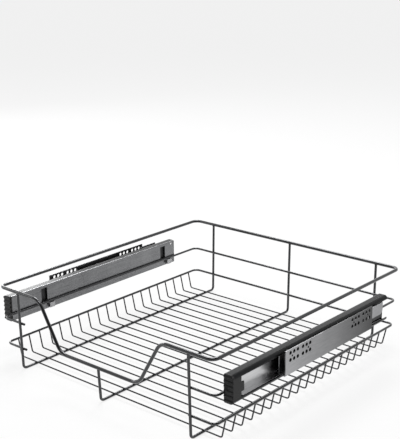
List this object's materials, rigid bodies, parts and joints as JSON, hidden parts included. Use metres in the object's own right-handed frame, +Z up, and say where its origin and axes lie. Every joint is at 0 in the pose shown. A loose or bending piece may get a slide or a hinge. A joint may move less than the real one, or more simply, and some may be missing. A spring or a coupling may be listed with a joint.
{
  "type": "pull out cabinet basket",
  "caption": "Wire basket with a scooped front on full extension side runners for a kitchen cabinet.",
  "frame": {"origin": "middle of the basket, at the underside of its support wires", "axes": "+X to the right, -Y out of the cabinet (the scooped front), +Z up"},
  "size_m": [0.514, 0.4948, 0.139],
  "materials": {
    "wire_coating": "semi gloss dark grey powder coat",
    "dark_profile": "satin dark grey coat",
    "zinc_profile": "zinc plated, satin",
    "zinc_plate": "zinc plated, satin",
    "black_plastic": "moulded, matt",
    "rivet_steel": "plain",
    "buffer_rubber": "matt",
    "cage_steel": "pressed sheet",
    "ball_steel": "polished"
  },
  "bodies": {
    "cabinet_side": {"cabinet_profile_right": "dark_profile", "cabinet_profile_left": "dark_profile", "cabinet_plate_right": "zinc_plate", "cabinet_plate_left": "zinc_plate", "rear_bracket_right": "zinc_plate", "rear_bracket_left": "zinc_plate", "rivets_right": "rivet_steel", "rivets_left": "rivet_steel", "rear_buffer_right": "buffer_rubber", "rear_buffer_left": "buffer_rubber"},
    "basket": {"rim_wire": "wire_coating", "middle_ring_wire": "wire_coating", "lower_ring_wire": "wire_coating", "support_wire_left": "wire_coating", "support_wire_middle": "wire_coating", "support_wire_right": "wire_coating", "floor_wires": "wire_coating", "drawer_profile_right": "dark_profile", "drawer_profile_left": "dark_profile", "end_cap_right": "black_plastic", "end_cap_left": "black_plastic"},
    "middle_right": {"middle_profile_right": "zinc_profile"},
    "outer_ball_row_right": {"outer_cage_right": "cage_steel", "outer_balls_right": "ball_steel"},
    "inner_ball_row_right": {"inner_cage_right": "cage_steel", "inner_balls_right": "ball_steel"},
    "middle_left": {"middle_profile_left": "zinc_profile"},
    "outer_ball_row_left": {"outer_cage_left": "cage_steel", "outer_balls_left": "ball_steel"},
    "inner_ball_row_left": {"inner_cage_left": "cage_steel", "inner_balls_left": "ball_steel"}
  },
  "joints": [
    {"name": "pull_out", "type": "slide", "parent": "cabinet_side", "child": "basket", "axis": [0, -1, 0], "range_m": [0, 0.4]},
    {"name": "middle_right_travel", "type": "slide", "parent": "cabinet_side", "child": "middle_right", "axis": [0, -1, 0], "range_m": [0, 0.2]},
    {"name": "outer_ball_row_right_travel", "type": "slide", "parent": "cabinet_side", "child": "outer_ball_row_right", "axis": [0, -1, 0], "range_m": [0, 0.301]},
    {"name": "inner_ball_row_right_travel", "type": "slide", "parent": "cabinet_side", "child": "inner_ball_row_right", "axis": [0, -1, 0], "range_m": [0, 0.101]},
    {"name": "middle_left_travel", "type": "slide", "parent": "cabinet_side", "child": "middle_left", "axis": [0, -1, 0], "range_m": [0, 0.2]},
    {"name": "outer_ball_row_left_travel", "type": "slide", "parent": "cabinet_side", "child": "outer_ball_row_left", "axis": [0, -1, 0], "range_m": [0, 0.301]},
    {"name": "inner_ball_row_left_travel", "type": "slide", "parent": "cabinet_side", "child": "inner_ball_row_left", "axis": [0, -1, 0], "range_m": [0, 0.101]}
  ],
  "couplings": [
    {"joint": "middle_right_travel", "follows": "pull_out", "ratio": 0.5},
    {"joint": "outer_ball_row_right_travel", "follows": "pull_out", "ratio": 0.75},
    {"joint": "inner_ball_row_right_travel", "follows": "pull_out", "ratio": 0.25},
    {"joint": "middle_left_travel", "follows": "pull_out", "ratio": 0.5},
    {"joint": "outer_ball_row_left_travel", "follows": "pull_out", "ratio": 0.75},
    {"joint": "inner_ball_row_left_travel", "follows": "pull_out", "ratio": 0.25}
  ]
}
